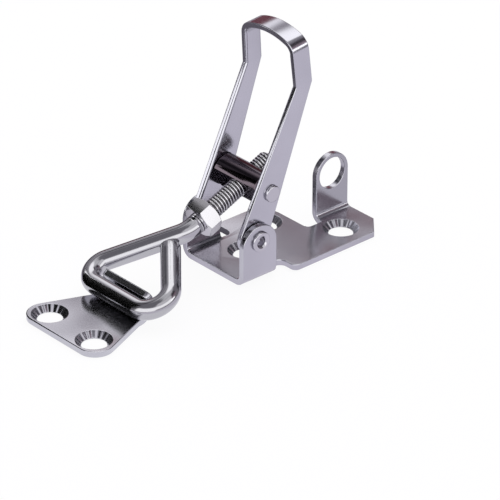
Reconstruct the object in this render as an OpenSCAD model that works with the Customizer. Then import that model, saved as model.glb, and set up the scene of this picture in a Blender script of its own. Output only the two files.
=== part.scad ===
// Adjustable over centre toggle latch, drawn in its open position.
// The base and the keeper stand on the plane Z = 0, the origin lies under the lever's pivot.
// +X runs from the keeper to the tail of the base, +Y points to the far side.

/* [Sheet metal] */
// Thickness of the folded sheets
sheet = 2; // [1.5:0.1:3]
// Inner radius of the folds
fold_r = 1.5; // [1:0.1:2]

/* [Base] */
// Outer width of the channel over both ears
channel_w = 27; // [24:0.5:32]
// Length of the ears along the base
ear_l = 13; // [12:0.5:16]
// Height of the pivot above the mounting plane
pivot_z = 13.3; // [12:0.1:18]
// Height of the ears
ear_h = 18.3; // [17:0.1:24]
// Distance from the pivot to the rear end of the base
tail_l = 48.6; // [44:0.5:60]
// Distance of the near edge of the tail from the middle
tail_near = 16; // [15:0.5:20]
// Distance of the far edge of the tail from the middle
tail_far = 18.7; // [17:0.5:22]
// Where the wide far half of the tail ends
far_end_x = 29.9; // [26:0.1:32]
// Chamfer at the near rear corner, along the base
chamfer_x = 5.6; // [2:0.2:8]
// Chamfer at the near rear corner, across the base
chamfer_y = 6.2; // [2:0.2:8]

/* [Screw holes] */
// Through diameter of the countersunk screw holes
screw_d = 7.4; // [4:0.1:8]
// Rim diameter of the countersinks
sink_d = 10.8; // [9:0.1:13]
// Screw hole in the channel, along the base
hole_c_x = 7.2; // [5:0.1:9]
// Screw hole in the channel, across the base
hole_c_y = 1; // [-2:0.1:2]
// Screw hole in the far half of the tail, along the base
hole_b_x = 22.6; // [20:0.1:24]
// Screw hole in the far half of the tail, across the base
hole_b_y = 10; // [8:0.1:12]
// Screw hole in the near half of the tail, along the base
hole_a_x = 37.2; // [34:0.1:40]
// Screw hole in the near half of the tail, across the base
hole_a_y = -7.7; // [-9:0.1:-7]

/* [Locking tab] */
// Width of the locking tab
tab_w = 12.8; // [12:0.2:16]
// Distance of the tab's near face from the middle
tab_y = 1.6; // [0:0.1:3]
// Height of the hole in the tab
tab_hole_z = 14.9; // [12:0.1:18]
// Diameter of the hole in the tab
tab_hole_d = 10; // [6:0.2:11]

/* [Lever] */
// Thickness of the lever's strip
strip_t = 2; // [1.5:0.1:2.2]
// Width of the strip in the bow
strip_w = 6.1; // [5:0.1:8]
// Gap between each ear and the lever's arm at the pivot
arm_gap = 0.4; // [0.3:0.1:1]
// How far the bow stands out past the arms on each side
bow_flare = 0.6; // [0.2:0.1:1.9]
// Radius of the arm ends around the pivot
arm_r = 5.5; // [5:0.1:6]
// Dogleg corner behind the pivot
dogleg_x = 15.4; // [13:0.1:18]
// Dogleg corner above the pivot
dogleg_z = 43.5; // [38:0.5:50]
// Forward lean of the bow
bow_lean = 5; // [0:0.5:12]
// How far the crown's corners draw in on each side
crown_draw = 0.4; // [-1.3:0.1:0.7]
// Length of the bow beyond the dogleg
bow_l = 15.6; // [13:0.2:22]
// Radius of the crown of the bow
crown_r = 23; // [18:0.5:40]
// Outer radius of the bow's corners
bow_corner_r = 4.6; // [3:0.1:5]

/* [Pivots] */
// Diameter of the rivet shanks
rivet_d = 5; // [4:0.1:5.5]
// Diameter of the rolled rivet ends
roll_d = 6.3; // [6:0.1:7]
// Diameter of the domed rivet heads inside the lever
head_d = 8.4; // [7:0.1:9]
// Distance of the trunnion behind the pivot
trunnion_x = 6.3; // [5:0.1:8]
// Distance of the trunnion above the pivot
trunnion_z = 12.6; // [12:0.1:15]
// Diameter of the trunnion
trunnion_d = 10; // [9:0.1:11]
// Diameter of the trunnion's stubs in the arms
stub_d = 4.4; // [4:0.1:5]
// How far the stubs stand out of the arms
stub_out = 1; // [0.8:0.1:2]

/* [Hook rod] */
// Diameter of the bent wire
wire_d = 6; // [5:0.1:6.5]
// How much thinner the screw thread is than the wire
thread_under = 0.1; // [0:0.1:0.6]
// Rod beyond the trunnion
rod_tail = 10; // [8:0.5:16]
// Distance from the trunnion to the first bend
bend_s = 24.2; // [23:0.1:30]
// Angle of the long leg against the rod
leg_a = 33.4; // [28:0.1:36]
// Angle of the returning leg against the rod
return_a = 47.6; // [44:0.1:52]
// Where the returning leg's centre line crosses the rod's
return_s = 31.1; // [30:0.1:34]
// Bend radius at the far front corner of the loop
far_r = 5.5; // [5:0.1:6]
// Bend radius at the near front corner of the loop
near_r = 6; // [5:0.1:6.4]

/* [Nut] */
// Width of the nut across flats
nut_af = 10; // [8:0.5:11]
// Thickness of the nut
nut_t = 5; // [4:0.1:6]
// Distance of the nut from the trunnion's centre
nut_s = 15; // [14:0.1:16]

/* [Keeper] */
// Distance from the pivot to the front bar of the loop
bar_x = -43; // [-52:0.5:-40]
// Distance from the bar to the front edge of the keeper
keeper_l = 22.4; // [20:0.2:30]
// Distance from the bar to the keeper's screw holes
keeper_hole_l = 16.3; // [14:0.1:20]
// Spacing of the keeper's screw holes
keeper_pitch = 19.8; // [18:0.1:24]
// Half width of the tongue
tongue_half = 10.3; // [8:0.1:10.3]
// Taper of the keeper's sides
taper_a = 22.2; // [10:0.2:26]
// Radius of the keeper's front corners
keeper_r = 5.6; // [4:0.1:8]
// Gap between the hook and the bar of the loop
hook_gap = 0.6; // [0.4:0.1:1]
// Angle up to which the hook curls, above the horizontal
hook_a = 43; // [20:1:60]

/* [Hidden] */
$fn = 96;
coarse = 48;
eps = 0.01;
over = 1;
run_gap = 0.05;
seat_gap = 0.02;
play = 0.2;
far_cut = 200;

// channel and folds
channel_in = channel_w / 2 - sheet;
fold_y = channel_in - fold_r;
ear_x = ear_l / 2;

// necks behind the ears, and the shoulders where the flanges start
near_neck = fold_y - 0.3;
far_neck = channel_in - 0.2;
near_shoulder = 11.4;
far_shoulder = 10.9;
neck_r = 2.2;
corner_r = 2;
far_corner_r = 7.5;
notch_y = -1;
notch_r = 1.6;

// tab
tab_r = tab_w / 2;
tab_x = tail_l - tab_r;
tab_root = tab_y - fold_r;

// lever: its arms fit between the ears
arm_half = channel_in - arm_gap;
bow_half = arm_half + bow_flare;
crown_half = bow_half - crown_draw;
lean = [cos(bow_lean), sin(bow_lean)];
rise = [-sin(bow_lean), cos(bow_lean)];
front_pt = [dogleg_x, dogleg_z];
rear_pt = front_pt + strip_w * lean;
dogleg_h = front_pt * rise;
blend_a = 0.5;

// rivets
arm_in = arm_half - strip_t;
rivet_head_y = arm_in - play;
head_h = 1.5;
roll_h = 0.9;
hollow_d = 3;
hollow_deep = 2.6;

// keeper: its hook fits the wire
hook_r = wire_d / 2 + hook_gap;
lip_r = 2.2;

// trunnion: the arms lean outwards, so its buttons stand off by where the arms are at their upper rim
barrel_half = arm_in - run_gap;
barrel_edge = 0.5;
peen_d = stub_d + 0.8;
peen_rim = 0.5;
arm_slope = (bow_half - arm_half) / dogleg_h;
peen_y = arm_half + arm_slope * (trunnion_z + peen_d / 2) + run_gap;
peen_h = stub_out - run_gap;
flat_s = 3.5;

// rod
t_x = trunnion_x;
t_z = pivot_z + trunnion_z;
bar_z = sheet + hook_r;
rod_a = atan2(t_z - bar_z, t_x - bar_x);
bar_s = sqrt(pow(t_z - bar_z, 2) + pow(t_x - bar_x, 2));
wire_r = wire_d / 2;
bend_r = 8;
bend_t = bend_r * tan(leg_a / 2);
far_turn = 90 + leg_a;
near_turn = 90 + return_a;
far_v = (bar_s - bend_s) * tan(leg_a);
near_v = (bar_s - return_s) * tan(return_a);
far_t = far_r * tan(far_turn / 2);
near_t = near_r * tan(near_turn / 2);
butt_gap = 0.2;
swell = 0.02;
wire_lap = 0.2;
thread_end = nut_s + nut_t + 0.6;
tip_chamfer = 0.8;

// nut: width of its end faces against its width across flats
nut_face = 0.96;

// fits
pivot_bore = rivet_d + 2 * run_gap;
ear_bore = rivet_d + 2 * seat_gap;
stub_bore = stub_d + 2 * run_gap;
thread_d = wire_d - thread_under;
thread_bore = thread_d + 2 * run_gap;

function len2(p) = sqrt(p[0] * p[0] + p[1] * p[1]);
function turn2(p, a) = [p[0] * cos(a) - p[1] * sin(a), p[0] * sin(a) + p[1] * cos(a)];
function tangent_pt(p, r, side) = turn2(p * r / len2(p), side * acos(r / len2(p)));

// Side view outline in X and Z, given a thickness along Y between y0 and y1.
module side_plate(y0, y1) {
  translate([0, y1, 0]) rotate([90, 0, 0]) linear_extrude(y1 - y0) children();
}

// Cross section in Y and Z, run along X between x0 and x1.
module run_x(x0, x1) {
  translate([x0, 0, 0]) rotate([90, 0, 90]) linear_extrude(x1 - x0) children();
}

// Folded corner in Y and Z: the floor lies at negative Y, the wall rises at positive Y.
module fold_section(wall_h) {
  translate([0, sheet + fold_r]) intersection() {
    difference() {
      circle(fold_r + sheet);
      circle(fold_r);
    }
    translate([0, -far_cut]) square(far_cut);
  }
  translate([fold_r, sheet + fold_r]) square([sheet, wall_h - sheet - fold_r]);
}

module countersink(x, y) {
  translate([x, y, -over]) cylinder(d = screw_d, h = sheet + 2 * over);
  translate([x, y, sheet - (sink_d - screw_d) / 2]) cylinder(d1 = screw_d, d2 = sink_d + 2 * eps,
    h = (sink_d - screw_d) / 2 + eps);
}

module ears() {
  intersection() {
    run_x(-ear_x, ear_x) for (side = [0, 1]) mirror([side, 0]) {
      translate([fold_y, 0]) fold_section(ear_h);
      translate([-eps, 0]) square([fold_y + 2 * eps, sheet]);
    }
    side_plate(-channel_w, channel_w) {
      translate([-ear_x, -over]) square([ear_l, ear_h - ear_x + over]);
      translate([0, ear_h - ear_x]) circle(ear_x);
    }
  }
}

// Plan of one half of the tail, on the +Y side, from the neck to its shoulder and on to x1.
module tail_half(neck, shoulder, out, x1) {
  translate([ear_x - over, -eps]) square([x1 - ear_x + over, neck + eps]);
  translate([shoulder - neck_r, neck]) difference() {
    translate([0, -eps]) square([neck_r + eps, neck_r + eps]);
    translate([0, neck_r]) circle(neck_r);
  }
  translate([shoulder, 0]) square([x1 - shoulder, out - corner_r]);
  translate([shoulder + corner_r, 0]) square([x1 - shoulder - corner_r, out]);
  translate([shoulder + corner_r, out - corner_r]) circle(corner_r);
}

// Plan outline of the base behind the ears.
module tail_outline() {
  difference() {
    union() {
      mirror([0, 1]) tail_half(near_neck, near_shoulder, tail_near, tail_l);
      tail_half(far_neck, far_shoulder, tail_far, far_end_x);
      translate([ear_x, -eps]) square([tail_l - ear_x, tab_root + eps]);
    }
    translate([tail_l - chamfer_x, -tail_near]) polygon([[0, -over], [chamfer_x + over, -over],
      [chamfer_x + over, chamfer_y * (1 + over / chamfer_x)], [chamfer_x, chamfer_y], [0, 0]]);
    translate([far_end_x - far_corner_r, tail_far - far_corner_r]) difference() {
      square(far_corner_r + over);
      circle(far_corner_r);
    }
    notch();
  }
}

// Relief between the wide far half of the tail and the tab.
module notch() {
  x0 = far_end_x + notch_r;
  x1 = tab_x - tab_r;
  translate([x0, notch_y]) square([x1 - x0, far_cut]);
  translate([far_end_x, notch_y + notch_r]) square([x1 - far_end_x, far_cut]);
  translate([x0, notch_y + notch_r]) circle(notch_r);
}

module tab() {
  difference() {
    intersection() {
      run_x(tab_x - tab_r, tab_x + tab_r) translate([tab_root, 0]) fold_section(tab_hole_z + tab_r);
      side_plate(-over, channel_w) {
        translate([tab_x - tab_r, -over]) square([tab_w, tab_hole_z + over]);
        translate([tab_x, tab_hole_z]) circle(tab_r);
      }
    }
    side_plate(-over, channel_w) translate([tab_x, tab_hole_z]) circle(d = tab_hole_d);
  }
}

module base_bracket() {
  color([0.75, 0.75, 0.78]) difference() {
    union() {
      ears();
      linear_extrude(sheet) tail_outline();
      tab();
    }
    side_plate(-channel_w, channel_w) translate([0, pivot_z]) circle(d = ear_bore);
    countersink(hole_a_x, hole_a_y);
    countersink(hole_b_x, hole_b_y);
    countersink(hole_c_x, hole_c_y);
  }
}

// The lever's side view drawn as a solid across the channel, with the pivot at the origin.
module lever_side() {
  beyond = bow_l + over;
  side_plate(-channel_w, channel_w) circle(arm_r);
  side_plate(-channel_w, channel_w) polygon([tangent_pt(front_pt, arm_r - eps, 1), front_pt,
    front_pt + beyond * rise, rear_pt + beyond * rise, rear_pt, tangent_pt(rear_pt, arm_r - eps, -1)]);
}

// Front view of an arch filled in, given its half widths at the feet, at the dogleg and at the crown.
module arch(foot, half, top_half, r_crown, r_corner) {
  cy = top_half - r_corner;
  tangent_a = asin(cy / (r_crown - r_corner));
  span = tangent_a - blend_a;
  top = dogleg_h + bow_l - (crown_r - r_crown);
  corner_z = top - r_crown + (r_crown - r_corner) * cos(tangent_a);
  slope = (half - foot) / dogleg_h;
  depth = arm_r + over;
  polygon([[-foot + slope * depth, -depth], [foot - slope * depth, -depth], [half, dogleg_h],
    [top_half, corner_z], [-top_half, corner_z], [-half, dogleg_h]]);
  for (side = [-1, 1]) translate([side * cy, corner_z]) circle(r_corner);
  translate([0, top - r_crown]) intersection() {
    circle(r_crown);
    polygon([[0, 0], far_cut * [sin(span), cos(span)], far_cut * [-sin(span), cos(span)]]);
  }
}

module lever() {
  color([0.78, 0.78, 0.82]) translate([0, 0, pivot_z]) difference() {
    intersection() {
      lever_side();
      rotate([0, -bow_lean, 0]) run_x(-far_cut / 2, far_cut / 2) difference() {
        arch(arm_half, bow_half, crown_half, crown_r, bow_corner_r);
        translate([0, -eps]) arch(arm_half - strip_t, bow_half - strip_t, crown_half - strip_t,
          crown_r - strip_t, bow_corner_r - strip_t);
      }
    }
    side_plate(-channel_w, channel_w) circle(d = pivot_bore);
    side_plate(-channel_w, channel_w) translate([trunnion_x, trunnion_z]) circle(d = stub_bore);
  }
}

// Half section of a rivet: the axis is the first coordinate's zero, the second runs outwards.
module rivet_section() {
  ear_y = channel_w / 2;
  square_h = ear_y - rivet_head_y;
  translate([0, rivet_head_y - eps]) square([rivet_d / 2, square_h + 2 * eps]);
  translate([0, ear_y + seat_gap]) difference() {
    union() {
      square([(roll_d - roll_h) / 2, roll_h]);
      translate([(roll_d - roll_h) / 2, roll_h / 2]) circle(roll_h / 2);
    }
    translate([-far_cut, -far_cut]) square([far_cut, 2 * far_cut]);
  }
  translate([0, ear_y]) square([rivet_d / 2, seat_gap + eps]);
  translate([0, rivet_head_y - head_h]) intersection() {
    dome_r = (pow(head_d / 2, 2) + pow(head_h, 2)) / (2 * head_h);
    translate([0, dome_r]) circle(dome_r);
    square([head_d / 2, head_h]);
  }
}

module rivet() {
  ear_y = channel_w / 2;
  translate([0, 0, pivot_z]) rotate([-90, 0, 0]) difference() {
    rotate_extrude() rivet_section();
    translate([0, 0, ear_y + roll_h - hollow_deep]) cylinder(d = hollow_d, h = hollow_deep + over);
    translate([0, 0, ear_y + roll_h / 2])
      cylinder(d1 = hollow_d, d2 = hollow_d + roll_h + 2 * over, h = roll_h / 2 + over);
  }
}

module rivet_near() {
  color([0.62, 0.62, 0.66]) mirror([0, 1, 0]) rivet();
}

module rivet_far() {
  color([0.62, 0.62, 0.66]) rivet();
}

module at_rod() {
  translate([t_x, 0, t_z]) rotate([0, 180 - rod_a, 0]) children();
}

// Half section of a stub's upset end, a button with a rounded rim: the axis is the first coordinate's zero.
module peen_section() {
  inner_r = peen_d / 2 - peen_rim;
  square([inner_r, peen_h]);
  square([peen_d / 2, peen_h - peen_rim]);
  translate([inner_r, peen_h - peen_rim]) intersection() {
    circle(peen_rim);
    square(peen_rim);
  }
}

// Half section of the barrel: the axis is the first coordinate's zero.
module barrel_section() {
  r = trunnion_d / 2;
  polygon([[0, -barrel_half], [r - barrel_edge, -barrel_half], [r, barrel_edge - barrel_half],
    [r, barrel_half - barrel_edge], [r - barrel_edge, barrel_half], [0, barrel_half]]);
}

module trunnion() {
  color([0.55, 0.53, 0.57]) difference() {
    translate([t_x, 0, t_z]) {
      rotate([90, 0, 0]) rotate_extrude() barrel_section();
      rotate([90, 0, 0]) cylinder(d = stub_d, h = 2 * peen_y + 2 * eps, center = true);
      for (side = [0, 1]) mirror([0, side, 0]) translate([0, peen_y, 0]) rotate([-90, 0, 0])
        rotate_extrude() peen_section();
    }
    at_rod() {
      rotate([0, 90, 0]) cylinder(d = thread_bore, h = 2 * trunnion_d, center = true);
      translate([flat_s, -barrel_half - eps, -trunnion_d])
        cube([trunnion_d, 2 * barrel_half + 2 * eps, 2 * trunnion_d]);
    }
  }
}

// Straight wire along +X, which runs a little way into the bends at its ends.
module wire(length) {
  translate([-wire_lap, 0, 0]) rotate([0, 90, 0]) cylinder(d = wire_d, h = length + 2 * wire_lap);
}

// Wire bent around the origin from angle a0 over the given turn, a trace thicker than the straight wire.
module elbow(r, a0, turn) {
  rotate([0, 0, a0]) rotate_extrude(angle = turn, $fn = coarse) translate([r, 0])
    circle(wire_r + swell, $fn = coarse);
}

// Threaded end of the rod from its chamfered tip to the plain wire.
module thread_core() {
  r = thread_d / 2;
  length = thread_end + rod_tail;
  translate([-rod_tail, 0, 0]) rotate([0, 90, 0]) rotate_extrude()
    polygon([[0, 0], [r - tip_chamfer, 0], [r, tip_chamfer], [r, length], [0, length]]);
}

// The rod and its loop lie in the X-Y plane here, with the trunnion's centre at the origin.
module hook_rod() {
  color([0.72, 0.72, 0.75]) at_rod() {
    thread_core();
    translate([thread_end, 0, 0]) wire(bend_s - bend_t - thread_end);
    translate([bend_s - bend_t, bend_r, 0]) elbow(bend_r, -90, leg_a);
    translate([bend_s, 0, 0]) rotate([0, 0, leg_a]) translate([bend_t, 0, 0])
      wire((bar_s - bend_s) / cos(leg_a) - bend_t - far_t);
    translate([bar_s - far_r, far_v - far_t, 0]) elbow(far_r, 0, far_turn);
    translate([bar_s, far_v - far_t, 0]) rotate([0, 0, -90]) wire(far_v - far_t + near_v - near_t);
    translate([bar_s - near_r, near_t - near_v, 0]) elbow(near_r, -near_turn, near_turn);
    difference() {
      translate([bar_s, -near_v, 0]) rotate([0, 0, 180 - return_a]) translate([near_t, 0, 0])
        wire((bar_s - return_s) / cos(return_a) - near_t + wire_d);
      translate([bend_s, 0, 0]) rotate([0, 0, leg_a]) translate([-far_cut, -wire_r - butt_gap, -wire_d])
        cube([2 * far_cut, far_cut, 2 * wire_d]);
    }
  }
}

module nut() {
  tip_r = nut_af / 2 / cos(30);
  face_r = nut_face * nut_af / 2;
  bevel = (tip_r - face_r) * tan(30);
  color([0.7, 0.7, 0.73]) at_rod() translate([nut_s, 0, 0]) rotate([0, 90, 0]) difference() {
    intersection() {
      rotate([0, 0, 30]) cylinder(r = tip_r, h = nut_t, $fn = 6);
      rotate_extrude() polygon([[0, 0], [face_r, 0], [tip_r, bevel], [tip_r, nut_t - bevel],
        [face_r, nut_t], [0, nut_t]]);
    }
    translate([0, 0, -over]) cylinder(d = thread_bore, h = nut_t + 2 * over);
  }
}

module keeper_outline() {
  front_x = bar_x - keeper_l;
  cx = front_x + keeper_r;
  cy = tongue_half + (bar_x - cx) * tan(taper_a) - keeper_r / cos(taper_a);
  translate([front_x, -cy]) square([keeper_r + eps, 2 * cy]);
  for (side = [0, 1]) mirror([0, side]) {
    translate([cx, cy]) circle(keeper_r);
    polygon([[cx, -eps], [bar_x, -eps], [bar_x, tongue_half],
      [cx + keeper_r * sin(taper_a), cy + keeper_r * cos(taper_a)], [cx, cy]]);
  }
}

// Side section of the hook, with the axis of the bar at the origin.
module hook_section() {
  intersection() {
    difference() {
      circle(hook_r + sheet);
      circle(hook_r);
    }
    polygon([[0, 0], [0, -far_cut], [far_cut, -far_cut], far_cut * [cos(hook_a), sin(hook_a)]]);
  }
  translate([-hook_r, -bar_z]) square([hook_r, sheet]);
}

// What is cut off a corner of the hook's lip, which points along +X here with its end face at Z = 0.
module lip_cut() {
  inset = lip_r - eps;
  translate([0, -inset, -inset]) difference() {
    translate([hook_r - over, 0, 0]) cube([sheet + 2 * over, lip_r + over, lip_r + over]);
    translate([hook_r - 2 * over, 0, 0]) rotate([0, 90, 0]) cylinder(r = lip_r, h = sheet + 4 * over);
  }
}

module keeper() {
  color([0.74, 0.74, 0.77]) difference() {
    union() {
      linear_extrude(sheet) keeper_outline();
      side_plate(-tongue_half, tongue_half) translate([bar_x, bar_z]) hook_section();
    }
    for (side = [0, 1]) mirror([0, side, 0]) {
      countersink(bar_x - keeper_hole_l, keeper_pitch / 2);
      translate([bar_x, tongue_half, bar_z]) rotate([0, -hook_a, 0]) lip_cut();
    }
  }
}

base_bracket();
lever();
rivet_near();
rivet_far();
trunnion();
hook_rod();
nut();
keeper();
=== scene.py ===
"""Studio picture of the over centre toggle latch: plated sheet, bent wire and turned parts on a white ground.

Lengths are in metres, unless a name or a comment says millimetres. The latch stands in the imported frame.
"""

from collections import namedtuple
import math

import bmesh
import bpy
from mathutils import Matrix, Vector


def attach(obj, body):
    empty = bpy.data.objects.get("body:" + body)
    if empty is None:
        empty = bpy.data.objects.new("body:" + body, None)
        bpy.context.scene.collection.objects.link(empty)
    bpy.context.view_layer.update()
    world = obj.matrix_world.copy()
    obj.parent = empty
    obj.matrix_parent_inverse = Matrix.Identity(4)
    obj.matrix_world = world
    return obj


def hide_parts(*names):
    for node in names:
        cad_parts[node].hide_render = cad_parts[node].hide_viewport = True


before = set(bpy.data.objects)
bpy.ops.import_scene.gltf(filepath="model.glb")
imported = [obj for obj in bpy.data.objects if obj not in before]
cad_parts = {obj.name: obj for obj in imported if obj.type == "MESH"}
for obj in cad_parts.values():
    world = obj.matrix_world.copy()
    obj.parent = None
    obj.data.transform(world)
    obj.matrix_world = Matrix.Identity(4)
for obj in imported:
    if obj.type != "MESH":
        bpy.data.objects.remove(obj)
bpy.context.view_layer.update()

MM = 0.001
MICRON = 0.000001

# Camera, as fitted to the photograph.
CAMERA_AT = Vector((-0.609856, -0.696550, 0.517892))
CAMERA_AZIMUTH = 0.725607
CAMERA_DROP = 0.506031
CAMERA_ROLL = 0.000504
FOCAL_PX = 3628.26
PICTURE_PX = 500
SENSOR_MM = 36.0
CLIP_END = 20.0


def add_camera():
    """The camera that looks at the latch as in the photograph."""
    azimuth, drop = CAMERA_AZIMUTH, CAMERA_DROP
    ahead = Vector((math.sin(azimuth) * math.cos(drop), math.cos(azimuth) * math.cos(drop), -math.sin(drop)))
    right = Vector((math.cos(azimuth), -math.sin(azimuth), 0.0))
    up = right.cross(ahead)
    turned_right = math.cos(CAMERA_ROLL) * right + math.sin(CAMERA_ROLL) * up
    turned_up = math.cos(CAMERA_ROLL) * up - math.sin(CAMERA_ROLL) * right
    data = bpy.data.cameras.new("camera")
    data.sensor_width = SENSOR_MM
    data.lens = FOCAL_PX * SENSOR_MM / PICTURE_PX
    data.clip_end = CLIP_END
    camera = bpy.data.objects.new("camera", data)
    bpy.context.scene.collection.objects.link(camera)
    turn = Matrix((turned_right, turned_up, -ahead)).transposed()
    camera.matrix_world = Matrix.Translation(CAMERA_AT) @ turn.to_4x4()
    bpy.context.scene.camera = camera


def add_mesh(name, points, faces):
    """A smooth mesh object at the origin."""
    mesh = bpy.data.meshes.new(name)
    mesh.from_pydata([tuple(p) for p in points], [], faces)
    mesh.validate()
    for polygon in mesh.polygons:
        polygon.use_smooth = True
    piece = bpy.data.objects.new(name, mesh)
    bpy.context.scene.collection.objects.link(piece)
    return piece


def direction(bearing, height):
    """Unit vector, with the bearing to the right of where the camera looks, both in degrees."""
    turn = CAMERA_AZIMUTH + math.radians(bearing)
    up = math.radians(height)
    return Vector((math.sin(turn) * math.cos(up), math.cos(turn) * math.cos(up), math.sin(up)))


add_camera()


# Node helpers.

def link(tree, source, target):
    """Joins two sockets."""
    tree.links.new(source, target)


def add_node(tree, kind, inputs=None, **settings):
    """A node with its settings, and its inputs set to values or linked to sockets."""
    made = tree.nodes.new(kind)
    for key, value in settings.items():
        setattr(made, key, value)
    for key, value in (inputs or {}).items():
        if isinstance(value, bpy.types.NodeSocket):
            link(tree, value, made.inputs[key])
        else:
            made.inputs[key].default_value = value
    return made


def new_material(name):
    """A material with an empty node tree."""
    material = bpy.data.materials.new(name)
    material.use_nodes = True
    material.node_tree.nodes.clear()
    return material, material.node_tree


def math_node(tree, operation, first, second=0.0, clamp=False):
    """The result of a sum or function of one or two values."""
    made = add_node(tree, "ShaderNodeMath", {0: first, 1: second}, operation=operation)
    made.use_clamp = clamp
    return made.outputs[0]


def step_up(tree, value, edge, softness):
    """0 below the edge and 1 above it, with a soft step."""
    made = add_node(tree, "ShaderNodeMapRange", {0: value, 1: edge - softness, 2: edge + softness, 3: 0.0,
                                                 4: 1.0}, interpolation_type="SMOOTHSTEP")
    return made.outputs[0]


def band(tree, value, low, high, soft):
    """1 between two bounds and 0 outside them."""
    return math_node(tree, "SUBTRACT", step_up(tree, value, low, soft), step_up(tree, value, high, soft))


def dot_product(tree, vector, way):
    """How far the vector reaches along a fixed way."""
    made = add_node(tree, "ShaderNodeVectorMath", {0: vector, 1: way}, operation="DOT_PRODUCT")
    return made.outputs["Value"]


def mix_colour(tree, share, first, second):
    """The first colour at share 0 and the second at 1."""
    made = add_node(tree, "ShaderNodeMix", {"Factor": share}, data_type="RGBA")
    for socket, colour in ((made.inputs[6], first), (made.inputs[7], second)):
        if isinstance(colour, bpy.types.NodeSocket):
            link(tree, colour, socket)
        else:
            socket.default_value = (*colour, 1.0)
    return made.outputs[2]


def noise(tree, place, scale, detail, roughness=0.5):
    """Value of a noise texture."""
    made = add_node(tree, "ShaderNodeTexNoise", {"Vector": place, "Scale": scale, "Detail": detail,
                                                 "Roughness": roughness})
    return made.outputs[0]


def bump(tree, distance, height, normal=None):
    """Normal of a bump that stands on another normal."""
    inputs = {"Strength": 1.0, "Distance": distance, "Height": height}
    if normal is not None:
        inputs["Normal"] = normal
    return add_node(tree, "ShaderNodeBump", inputs).outputs[0]


# Studio that gloss sees. Angles are in degrees, with the bearing to the right of where the camera looks.
# Later patches cover earlier ones.
Patch = namedtuple("Patch", "name bearing half_width low high soft colour")
FULL_TURN = 180
STUDIO = (
    Patch("sky_top", 0, FULL_TURN, 62, 90, 6, (0.85, 0.85, 0.87)),
    Patch("back_bright", -21, 20, 22, 47, 4, (1.40, 1.39, 1.42)),
    Patch("back_panel", 19, 19, 24, 46, 4, (0.40, 0.375, 0.41)),
    Patch("box_back_top", 6, 38, 48, 80, 5, (1.80, 1.80, 1.80)),
    Patch("back_low", -6, 17, -8, 25, 3, (0.20, 0.075, 0.095)),
    Patch("right_dark", 46, 16, 6, 30, 5, (0.05, 0.05, 0.06)),
    Patch("left_low", -48, 36, -9, 11, 5, (0.10, 0.09, 0.11)),
    Patch("left_middle", -36, 12, 14, 46, 6, (0.34, 0.33, 0.36)),
    Patch("dark_left", -80, 34, 17, 60, 5, (0.07, 0.07, 0.08)),
    Patch("black_left", -60, 14, 28, 46, 5, (0.02, 0.02, 0.03)),
    Patch("left_high", -128, 60, 37, 80, 6, (0.24, 0.235, 0.26)),
    Patch("camera_left", -150, 36, 0, 34, 5, (1.75, 1.75, 1.75)),
    Patch("camera_right_high", 146, 40, 36, 60, 6, (0.95, 0.94, 0.97)),
    Patch("camera_right", 146, 40, 8, 34, 5, (1.75, 1.75, 1.75)),
    Patch("right_mauve", 94, 16, 22, 37, 5, (0.30, 0.22, 0.26)),
    Patch("dark_right", 92, 14, 38, 54, 4, (0.06, 0.05, 0.06)),
    Patch("box_right", 104, 10, 13, 22, 3, (2.8, 2.8, 2.8)),
)
HORIZON = (0.25, 0.235, 0.265)
WHITE = (1.0, 1.0, 1.0)
DEGREES = 180 / math.pi


def patch_mask(tree, way, height, patch):
    """1 inside a patch of the studio and 0 outside it."""
    level = band(tree, height, patch.low, patch.high, patch.soft)
    if patch.half_width >= FULL_TURN:
        return level
    ahead = dot_product(tree, way, direction(patch.bearing, 0))
    aside = dot_product(tree, way, direction(patch.bearing + 90, 0))
    off = math_node(tree, "ABSOLUTE", math_node(tree, "ARCTAN2", aside, ahead))
    off = math_node(tree, "MULTIPLY", off, DEGREES)
    inside = math_node(tree, "SUBTRACT", 1.0, step_up(tree, off, patch.half_width, patch.soft))
    return math_node(tree, "MULTIPLY", level, inside)


def shape_world():
    """Plain white, except that gloss sees a studio of soft boxes and dark walls."""
    world = bpy.data.worlds.new("studio")
    bpy.context.scene.world = world
    world.use_nodes = True
    tree = world.node_tree
    tree.nodes.clear()
    ray = add_node(tree, "ShaderNodeLightPath")
    way = add_node(tree, "ShaderNodeTexCoord").outputs["Generated"]
    up = add_node(tree, "ShaderNodeSeparateXYZ", {0: way}).outputs["Z"]
    height = math_node(tree, "MULTIPLY", math_node(tree, "ARCSINE", up), DEGREES)
    colour = HORIZON
    for patch in STUDIO:
        colour = mix_colour(tree, patch_mask(tree, way, height, patch), colour, patch.colour)
    reflected = add_node(tree, "ShaderNodeBackground", {"Color": colour, "Strength": 1.0})
    seen = add_node(tree, "ShaderNodeBackground", {"Color": (*WHITE, 1.0), "Strength": 1.0})
    mixed = add_node(tree, "ShaderNodeMixShader", {0: ray.outputs["Is Glossy Ray"], 1: seen.outputs[0],
                                                   2: reflected.outputs[0]})
    add_node(tree, "ShaderNodeOutputWorld", {"Surface": mixed.outputs[0]})


# Tones that gloss sees in the floor, by the distance ahead of the origin and to its right, in millimetres.
Tone = namedtuple("Tone", "name near far left right soft colour")
FAR = 900
FLOOR_TONES = (
    Tone("behind_right", 16, FAR, 12, FAR, 12, (0.62, 0.60, 0.66)),
    Tone("behind", 8, FAR, -FAR, 8, 8, (0.10, 0.09, 0.11)),
    Tone("left", -FAR, 14, -FAR, -112, 12, (0.16, 0.15, 0.17)),
    Tone("front", -60, -12, -70, 0, 8, (1.05, 1.05, 1.09)),
)
FLOOR_Z = -0.2 * MM
FLOOR_SIDE = 3.0
FLOOR_COLOUR = (0.85, 0.82, 0.91)
FLOOR_GLOW = 0.92


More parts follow.
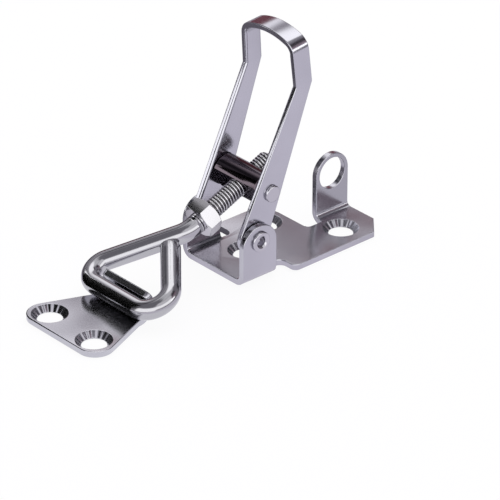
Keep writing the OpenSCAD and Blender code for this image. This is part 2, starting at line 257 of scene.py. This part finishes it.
def floor_tone(tree):
    """The floor's colour in the metal's reflections."""
    place = add_node(tree, "ShaderNodeTexCoord").outputs["Object"]
    ahead = dot_product(tree, place, direction(0, 0) / MM)
    aside = dot_product(tree, place, direction(90, 0) / MM)
    colour = FLOOR_COLOUR
    for tone in FLOOR_TONES:
        along = band(tree, ahead, tone.near, tone.far, tone.soft)
        across = band(tree, aside, tone.left, tone.right, tone.soft)
        colour = mix_colour(tree, math_node(tree, "MULTIPLY", along, across), colour, tone.colour)
    return colour


def add_floor():
    """A pale floor: white to the camera with a faint shadow, and in soft tones in the metal's reflections."""
    side = FLOOR_SIDE
    corners = [(-side, -side, FLOOR_Z), (side, -side, FLOOR_Z), (side, side, FLOOR_Z), (-side, side, FLOOR_Z)]
    floor = add_mesh("floor", corners, [(0, 1, 2, 3)])
    material, tree = new_material("floor")
    ray = add_node(tree, "ShaderNodeLightPath")
    plain = add_node(tree, "ShaderNodeBsdfDiffuse", {"Color": (*FLOOR_COLOUR, 1.0)})
    shade = mix_colour(tree, ray.outputs["Is Camera Ray"], floor_tone(tree), WHITE)
    ground = add_node(tree, "ShaderNodeEmission", {"Color": shade, "Strength": 1.0})
    shown = math_node(tree, "ADD", ray.outputs["Is Camera Ray"], ray.outputs["Is Glossy Ray"])
    shown = math_node(tree, "ADD", shown, ray.outputs["Is Transmission Ray"], clamp=True)
    share = math_node(tree, "MULTIPLY", shown, FLOOR_GLOW)
    mixed = add_node(tree, "ShaderNodeMixShader", {0: share, 1: plain.outputs[0], 2: ground.outputs[0]})
    add_node(tree, "ShaderNodeOutputMaterial", {"Surface": mixed.outputs[0]})
    floor.data.materials.append(material)


LATCH_MIDDLE = Vector((0.0, 0.0, 0.02))


def add_lamp(name, bearing, height, distance, side, watts):
    """A large soft lamp for the floor and for plain surfaces; gloss sees the studio instead."""
    data = bpy.data.lights.new(name, "AREA")
    data.shape = "SQUARE"
    data.size = side
    data.energy = watts
    lamp = bpy.data.objects.new(name, data)
    bpy.context.scene.collection.objects.link(lamp)
    place = LATCH_MIDDLE + direction(bearing, height) * distance
    turn = (LATCH_MIDDLE - place).to_track_quat("-Z", "Y")
    lamp.matrix_world = Matrix.Translation(place) @ turn.to_matrix().to_4x4()
    lamp.visible_glossy = False


def add_card(name, ahead, aside, low, high, half_width, radiance):
    """An upright card beside the latch, bright or black, that only gloss shows; in millimetres."""
    middle = direction(0, 0) * ahead + direction(90, 0) * aside
    reach = direction(0, 0) * half_width
    ends = ((middle - reach, low), (middle + reach, low), (middle + reach, high), (middle - reach, high))
    corners = [(place + Vector((0.0, 0.0, z))) * MM for place, z in ends]
    card = add_mesh(name, corners, [(0, 1, 2, 3)])
    material, tree = new_material(name)
    glow = add_node(tree, "ShaderNodeEmission", {"Color": (*WHITE, 1.0), "Strength": radiance})
    add_node(tree, "ShaderNodeOutputMaterial", {"Surface": glow.outputs[0]})
    card.data.materials.append(material)
    card.visible_camera = False
    card.visible_diffuse = False
    card.visible_shadow = False


bpy.context.scene.view_settings.view_transform = "Standard"
shape_world()
add_floor()
add_lamp("lamp_top", bearing=20, height=66, distance=0.9, side=0.7, watts=2.0)
add_card("card_left", ahead=7, aside=-82, low=28, high=74, half_width=11, radiance=1.9)
add_card("flag_left", ahead=-24, aside=-60, low=0, high=54, half_width=19, radiance=0.0)
add_card("flag_arm", ahead=4.0, aside=-20, low=35, high=76, half_width=4.5, radiance=0.0)


# Materials. The scales of noise are per metre.
DRIFT_SCALE = 60.0
DARKER, BRIGHTER = 0.93, 1.05
SMUDGE_SCALE = 240.0
GLOSS_SPREAD = 0.12
PEEL_SCALE = 420.0
SWELL_SCALE = 32.0
SWELL_AT = (0.185, 0.525, 0.065)
CHATTER_COUNT = 17
LINES_ALONG_X = (40.0, 2500.0, 2500.0)
LINES_ALONG_Z = (2500.0, 2500.0, 40.0)
WIRE_GRAIN = (300.0, 300.0, 300.0)
FINE_GRAIN = (900.0, 900.0, 900.0)
# Painted shade for the thread's roots.
THREAD_ROOT_PAINTED_SHADE = (0.14, 0.135, 0.14)


def chatter(tree, place):
    """Height of the cutter's chatter marks round the countersinks, whose faces carry their hole's centre."""
    hole = add_node(tree, "ShaderNodeAttribute", attribute_name="hole").outputs["Vector"]
    mask = add_node(tree, "ShaderNodeSeparateXYZ", {0: hole}).outputs["Z"]
    off = add_node(tree, "ShaderNodeVectorMath", {0: place, 1: hole}, operation="SUBTRACT").outputs[0]
    parts = add_node(tree, "ShaderNodeSeparateXYZ", {0: off})
    turn = math_node(tree, "ARCTAN2", parts.outputs["Y"], parts.outputs["X"])
    wave = math_node(tree, "SINE", math_node(tree, "MULTIPLY", turn, CHATTER_COUNT))
    return math_node(tree, "MULTIPLY", wave, mask)


def plating_tint(tree, place, colour, root_painted_shade):
    """The plating's colour with a slight drift, and painted shade in the roots of a thread."""
    dark = tuple(c * DARKER for c in colour)
    bright = tuple(min(1.0, c * BRIGHTER) for c in colour)
    drift = noise(tree, place, DRIFT_SCALE, 3.0)
    share = add_node(tree, "ShaderNodeMapRange", {0: drift, 1: 0.30, 2: 0.70}).outputs[0]
    tint = mix_colour(tree, share, dark, bright)
    if root_painted_shade:
        # Painted shade: the thread's colour darkens from crest to root by its depth.
        height = add_node(tree, "ShaderNodeAttribute", attribute_name="thread_height").outputs["Fac"]
        tint = mix_colour(tree, step_up(tree, height, 0.5, 0.4), root_painted_shade, tint)
    return tint


def plating_normal(tree, place, grain, wave_um, scratch_um, chatter_um, warp_mm):
    """The surface's broad warp, fine waviness, drawn lines and cutter's marks."""
    normal = None
    if warp_mm:
        moved = add_node(tree, "ShaderNodeVectorMath", {0: place, 1: SWELL_AT}, operation="ADD").outputs[0]
        normal = bump(tree, warp_mm * MM, noise(tree, moved, SWELL_SCALE, 0.5))
    normal = bump(tree, wave_um * MICRON, noise(tree, place, PEEL_SCALE, 2.0), normal)
    stretched = add_node(tree, "ShaderNodeMapping", {"Vector": place, "Scale": grain}).outputs[0]
    normal = bump(tree, scratch_um * MICRON, noise(tree, stretched, 1.0, 1.5), normal)
    if chatter_um:
        normal = bump(tree, chatter_um * MICRON, chatter(tree, place), normal)
    return normal


def plated(name, colour, rough, grain, wave_um, scratch_um=0.5, chatter_um=0.0, warp_mm=0.0, root_painted_shade=None):
    """Bright plating, unless its colour is painted dark: slight colour drift, smudged gloss, waviness and
    fine lines, and painted shade in a thread's roots.
    """
    material, tree = new_material(name)
    place = add_node(tree, "ShaderNodeTexCoord").outputs["Object"]
    smudge = noise(tree, place, SMUDGE_SCALE, 5.0, 0.6)
    gloss = add_node(tree, "ShaderNodeMapRange", {0: smudge, 1: 0.3, 2: 0.7, 3: rough * (1 - GLOSS_SPREAD),
                                                  4: rough * (1 + GLOSS_SPREAD)})
    shader = add_node(tree, "ShaderNodeBsdfPrincipled", {
        "Base Color": plating_tint(tree, place, colour, root_painted_shade),
        "Metallic": 1.0,
        "Roughness": gloss.outputs[0],
        "Normal": plating_normal(tree, place, grain, wave_um, scratch_um, chatter_um, warp_mm)})
    add_node(tree, "ShaderNodeOutputMaterial", {"Surface": shader.outputs[0]})
    return material


SHEET = plated("plated_sheet", (0.52, 0.515, 0.56), 0.20, LINES_ALONG_X, 0.5, 0.12,
               chatter_um=110.0, warp_mm=2.2)
STRIP = plated("plated_strip", (0.52, 0.515, 0.565), 0.15, LINES_ALONG_Z, 0.6, 0.15, warp_mm=0.5)
# The barrel's colour is set far darker than the plating it shares with the other parts: painted dark
# reflection.
TURNED_PAINTED_DARK = plated("turned_painted_dark", (0.12, 0.097, 0.115), 0.12, LINES_ALONG_X, 1.0, 0.4)
WIRE = plated("plated_wire", (0.46, 0.455, 0.48), 0.13, WIRE_GRAIN, 1.5)
# The thread's colour is set far lighter than the wire it is rolled on: painted highlight over the thread.
THREAD = plated("plated_thread", (0.86, 0.855, 0.88), 0.13, WIRE_GRAIN, 1.0, root_painted_shade=THREAD_ROOT_PAINTED_SHADE)
NUT = plated("plated_nut", (0.54, 0.53, 0.555), 0.16, FINE_GRAIN, 2.5)
RIVET = plated("plated_rivet", (0.54, 0.53, 0.57), 0.12, FINE_GRAIN, 2.0)


# Rounded copies of the CAD nodes.
WELD = 0.02 * MM
FLAT = math.radians(0.4)
SHARP = math.radians(25)
CREASE = math.radians(62)
CREASE_SHARE = 0.4

# Countersinks, in millimetres, and the upward part of their faces' normals.
SINK_R_MM = 5.4
SINK_SLOPE = (0.2, 0.95)
BASE_HOLES = ((37.2, -7.7), (22.6, 10.0), (7.2, 1.0))
KEEPER_HOLES = ((-59.3, 9.9), (-59.3, -9.9))


def mark_holes(mesh, holes):
    """Every face of a countersink gets its hole's centre, and 1 as the third number."""
    marks = mesh.attributes.new("hole", "FLOAT_VECTOR", "FACE")
    for polygon, mark in zip(mesh.polygons, marks.data):
        mark.vector = (0.0, 0.0, 0.0)
        for x, y in holes:
            off = Vector((polygon.center.x - x * MM, polygon.center.y - y * MM))
            if SINK_SLOPE[0] < polygon.normal.z < SINK_SLOPE[1] and off.length < SINK_R_MM * MM:
                mark.vector = (x * MM, y * MM, 1.0)


# Lever, in millimetres: its bores, and its bow in the plane that leans with it.
PIVOT_Z = 13.3
PIVOT_BORE_R = 3.2
STUB_BORE_X, STUB_BORE_H = 6.3, 12.6
STUB_BORE_R = 3.0
BOW_LEAN = math.radians(5)
CROWN_TOP, CROWN_R = 57.59, 23.0
CORNER_Y, CORNER_H = 6.7, 51.73
CORNER_MID_R = 3.6
ARM_MID_Y = 10.4
OUTER_SHARE = 0.35
BORE_SHARE = 0.2


def lever_share(spot):
    """Rounding of the lever's edges: the strip's inner side is the rolled-over side of the blank."""
    x, y, z = (number / MM for number in spot)
    z -= PIVOT_Z
    if math.hypot(x, z) < PIVOT_BORE_R or math.hypot(x - STUB_BORE_X, z - STUB_BORE_H) < STUB_BORE_R:
        return BORE_SHARE
    height = z * math.cos(BOW_LEAN) - x * math.sin(BOW_LEAN)
    if height < CORNER_H:
        inner = abs(y) < ARM_MID_Y
    elif abs(y) > CORNER_Y:
        inner = math.hypot(abs(y) - CORNER_Y, height - CORNER_H) < CORNER_MID_R
    else:
        inner = math.hypot(y, height - CROWN_TOP + CROWN_R) < CROWN_R - 1
    return 1.0 if inner else OUTER_SHARE


# Steps at the ears' rear feet, in millimetres.
FOOT_X, FOOT_REACH = 6.5, 1.2
FOOT_INNER_Y, FOOT_OUTER_Y = 8.5, 13.0
FOOT_TOP = 4.0


def base_share(spot):
    """The small steps at the ears' rear feet stay sharp, because a rounding has no room there."""
    x, y, z = (number / MM for number in spot)
    foot = abs(x - FOOT_X) < FOOT_REACH and FOOT_INNER_Y < abs(y) < FOOT_OUTER_Y and z < FOOT_TOP
    return 0.0 if foot else 1.0


def weigh_edges(shape, share):
    """Bevel weights: none where faces meet flat, part on a shallow crease, all on a sharp edge."""
    weight = shape.edges.layers.float.new("bevel_weight_edge")
    for edge in shape.edges:
        angle = edge.calc_face_angle(0.0)
        edge[weight] = 0.0 if angle < SHARP else CREASE_SHARE if angle < CREASE else 1.0
        if share:
            edge[weight] *= share((edge.verts[0].co + edge.verts[1].co) / 2)


def clean_copy(node, share):
    """The CAD node's mesh with its flat facets joined and its edges weighed."""
    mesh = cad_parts[node].data.copy()
    shape = bmesh.new()
    shape.from_mesh(mesh)
    bmesh.ops.remove_doubles(shape, verts=shape.verts, dist=WELD)
    bmesh.ops.dissolve_limit(shape, angle_limit=FLAT, verts=shape.verts, edges=shape.edges)
    weigh_edges(shape, share)
    for face in shape.faces:
        face.smooth = True
    clean = bpy.data.meshes.new(node + "_rounded")
    shape.to_mesh(clean)
    shape.free()
    bpy.data.meshes.remove(mesh)
    return clean


def rounded(node, body, material, radius_mm, segments=3, holes=(), share=None):
    """The CAD node's own shape with its sharp edges broken to a small radius."""
    clean = clean_copy(node, share)
    if holes:
        mark_holes(clean, holes)
    piece = bpy.data.objects.new(node + "_rounded", clean)
    bpy.context.scene.collection.objects.link(piece)
    clean.materials.clear()
    clean.materials.append(material)
    bevel = piece.modifiers.new("edges", "BEVEL")
    bevel.limit_method = "WEIGHT"
    bevel.width = radius_mm * MM
    bevel.segments = segments
    bevel.use_clamp_overlap = False
    bevel.miter_outer = "MITER_ARC"
    normals = piece.modifiers.new("normals", "WEIGHTED_NORMAL")
    normals.mode = "FACE_AREA"
    normals.keep_sharp = True
    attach(piece, body)
    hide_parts(node)
    return piece


STUB_Y = 10.6 * MM


def stubs_in_rivet_plating(barrel):
    """The trunnion's peened stubs get the rivets' plating; the barrel between them keeps its painted dark
    reflection.
    """
    barrel.data.materials.append(RIVET)
    for polygon in barrel.data.polygons:
        polygon.material_index = 1 if abs(polygon.center.y) > STUB_Y else 0


rounded("base_bracket", "base", SHEET, 0.3, holes=BASE_HOLES, share=base_share)
rounded("keeper", "keeper", SHEET, 0.3, holes=KEEPER_HOLES)
rounded("lever", "lever", STRIP, 0.85, segments=4, share=lever_share)
rounded("nut", "nut", NUT, 0.12)
stubs_in_rivet_plating(rounded("trunnion", "trunnion", TURNED_PAINTED_DARK, 0.15))
rounded("rivet_near", "base", RIVET, 0.08)
rounded("rivet_far", "base", RIVET, 0.08)


# Hook rod, with the trunnion's centre as origin and +X towards the keeper.
TRUNNION_AT = Vector((6.3, 0.0, 25.9)) * MM
BAR_AT = Vector((-43.0, 0.0, 5.6)) * MM
WIRE_R = 3.0 * MM
THREAD_R = 2.95 * MM
THREAD_ROOT_R = 2.42 * MM
THREAD_PITCH = 1.0 * MM
THREAD_STEPS = 10
THREAD_TIP = 0.8 * MM
THREAD_FADE = 1.6 * MM
ROOT_SHARE, FLANK_SHARE = 0.14, 0.70
ROD_TAIL = 10.0 * MM
THREAD_END = 20.6 * MM
FIRST_BEND_S = 24.2 * MM
FIRST_BEND_R = 8.0 * MM
LEG_ANGLE = math.radians(33.4)
RETURN_ANGLE = math.radians(47.6)
RETURN_S = 31.1 * MM
FAR_CORNER_R = 5.5 * MM
NEAR_CORNER_R = 6.0 * MM
BUTT_GAP = 0.2 * MM
BUTT_SLOPE = 0.35
END_RIM = 0.6 * MM
END_RINGS = 5
RING = 48
ARC_STEP = 0.35 * MM
LINE_STEP = 2.0 * MM
MERGE = 0.001 * MM
SLIVER = 0.0005 * MM


def rod_to_row(point):
    """A point of the rod's own frame in the row frame."""
    slope = (TRUNNION_AT - BAR_AT).normalized()
    along = -slope
    across = Vector((0.0, 1.0, 0.0))
    out = along.cross(across)
    return TRUNNION_AT + along * point[0] + across * point[1] + out * point[2]


def arc(centre, radius, start, turn):
    """Points on an arc of the rod's plane."""
    count = max(4, int(abs(turn) * radius / ARC_STEP))
    return [Vector((centre[0] + radius * math.cos(start + turn * i / count),
                    centre[1] + radius * math.sin(start + turn * i / count), 0.0)) for i in range(count + 1)]


def line(start, end):
    """Points on a straight line, without its start."""
    count = max(1, int((end - start).length / LINE_STEP))
    return [start.lerp(end, i / count) for i in range(1, count + 1)]


def loop_path():
    """Centre line of the plain wire, from the thread's end round the loop to its closing end."""
    bar_s = (TRUNNION_AT - BAR_AT).length
    bend_t = FIRST_BEND_R * math.tan(LEG_ANGLE / 2)
    far_v = (bar_s - FIRST_BEND_S) * math.tan(LEG_ANGLE)
    near_v = (bar_s - RETURN_S) * math.tan(RETURN_ANGLE)
    far_turn = math.pi / 2 + LEG_ANGLE
    near_turn = math.pi / 2 + RETURN_ANGLE
    far_t = FAR_CORNER_R * math.tan(far_turn / 2)
    near_t = NEAR_CORNER_R * math.tan(near_turn / 2)
    path = [Vector((THREAD_END, 0.0, 0.0))]
    for bend in (
            arc((FIRST_BEND_S - bend_t, FIRST_BEND_R), FIRST_BEND_R, -math.pi / 2, LEG_ANGLE),
            arc((bar_s - FAR_CORNER_R, far_v - far_t), FAR_CORNER_R, math.pi / 2 + LEG_ANGLE, -far_turn),
            arc((bar_s - NEAR_CORNER_R, near_t - near_v), NEAR_CORNER_R, 0.0, -near_turn)):
        path += line(path[-1], bend[0]) + bend[1:]
    back = Vector((-math.cos(RETURN_ANGLE), math.sin(RETURN_ANGLE), 0.0))
    leg = Vector((-math.sin(LEG_ANGLE), math.cos(LEG_ANGLE), 0.0))
    room = -(path[-1] - Vector((FIRST_BEND_S, 0.0, 0.0))).dot(leg) - WIRE_R - BUTT_GAP
    end = path[-1] + back * (room / back.dot(leg) - WIRE_R * BUTT_SLOPE)
    return path + line(path[-1], end)


def ring_points(centre, tangent, radius):
    """A ring of points around the wire, which lies in the rod's plane."""
    side = Vector((-tangent.y, tangent.x, 0.0))
    out = Vector((0.0, 0.0, 1.0))
    turns = [2 * math.pi * i / RING for i in range(RING)]
    return [centre + (side * math.cos(turn) + out * math.sin(turn)) * radius for turn in turns]


def tube_faces(rings):
    """Quads between successive rings of points."""
    return [(r * RING + i, r * RING + (i + 1) % RING, (r + 1) * RING + (i + 1) % RING, (r + 1) * RING + i)
            for r in range(rings - 1) for i in range(RING)]


def wire_mesh():
    """The plain wire, with a rounded closing end."""
    path = loop_path()
    points = []
    for i, centre in enumerate(path):
        tangent = (path[min(i + 1, len(path) - 1)] - path[max(i - 1, 0)]).normalized()
        points += ring_points(centre, tangent, WIRE_R)
    tangent = (path[-1] - path[-2]).normalized()
    for i in range(1, END_RINGS + 1):
        turn = math.pi / 2 * i / END_RINGS
        radius = WIRE_R - END_RIM + END_RIM * math.cos(turn)
        points += ring_points(path[-1] + tangent * END_RIM * math.sin(turn), tangent, radius)
    rings = len(points) // RING
    faces = tube_faces(rings)
    faces.append(tuple((rings - 1) * RING + i for i in range(RING)))
    faces.append(tuple(reversed(range(RING))))
    return points, faces


def thread_height(phase):
    """Height of the rounded thread form between root, 0, and crest, 1."""
    rise = abs(2 * (phase % 1.0) - 1)
    slope = (rise - ROOT_SHARE) / FLANK_SHARE
    slope = min(1.0, max(0.0, slope))
    return slope * slope * (3 - 2 * slope)


def thread_point(column, step):
    """A point of the thread's skin and its height between root and crest."""
    turn = step / RING
    x = -ROD_TAIL + THREAD_PITCH * (column / THREAD_STEPS - turn)
    x = min(max(x, -ROD_TAIL), THREAD_END)
    share = thread_height((x + ROD_TAIL) / THREAD_PITCH + turn)
    radius = THREAD_ROOT_R + (THREAD_R - THREAD_ROOT_R) * share
    radius = min(radius, THREAD_R - THREAD_TIP + (x + ROD_TAIL))
    out = min(1.0, max(0.0, (THREAD_END - x) / THREAD_FADE))
    radius = WIRE_R + (radius - WIRE_R) * out
    angle = 2 * math.pi * turn
    return Vector((x, radius * math.cos(angle), radius * math.sin(angle))), max(share, 1 - out)


def thread_mesh():
    """The rolled thread as one skin that follows its helix, faded out towards the plain wire."""
    turns = (ROD_TAIL + THREAD_END) / THREAD_PITCH
    columns = int((turns + 1) * THREAD_STEPS) + 1
    spots = [thread_point(m, i) for m in range(columns) for i in range(RING)]
    faces = []
    for m in range(columns - 1):
        for i in range(RING):
            j, shift = (i + 1, 0) if i + 1 < RING else (0, THREAD_STEPS)
            a, b = m * RING + i, (m + 1) * RING + i
            c, d = (m + 1 - shift) * RING + j, (m - shift) * RING + j
            if min(c, d) >= 0 and max(c, d) < len(spots):
                faces.append((a, b, c, d))
    return [spot[0] for spot in spots], faces, [spot[1] for spot in spots]


def add_hook_rod():
    """Thread and bent wire as one piece."""
    points, faces = wire_mesh()
    more, more_faces, heights = thread_mesh()
    faces += [tuple(len(points) + i for i in face) for face in more_faces]
    piece = add_mesh("hook_rod_wire", [rod_to_row(p) for p in points + more], faces)
    mesh = piece.data
    mesh.materials.append(WIRE)
    mesh.materials.append(THREAD)
    for polygon in mesh.polygons:
        polygon.material_index = 0 if polygon.vertices[0] < len(points) else 1
    level = mesh.attributes.new("thread_height", "FLOAT", "POINT")
    level.data.foreach_set("value", [1.0] * len(points) + heights)
    shape = bmesh.new()
    shape.from_mesh(mesh)
    bmesh.ops.remove_doubles(shape, verts=shape.verts, dist=MERGE)
    bmesh.ops.dissolve_degenerate(shape, edges=shape.edges, dist=SLIVER)
    bmesh.ops.recalc_face_normals(shape, faces=shape.faces)
    shape.to_mesh(mesh)
    shape.free()
    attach(piece, "hook_rod")
    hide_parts("hook_rod")


add_hook_rod()
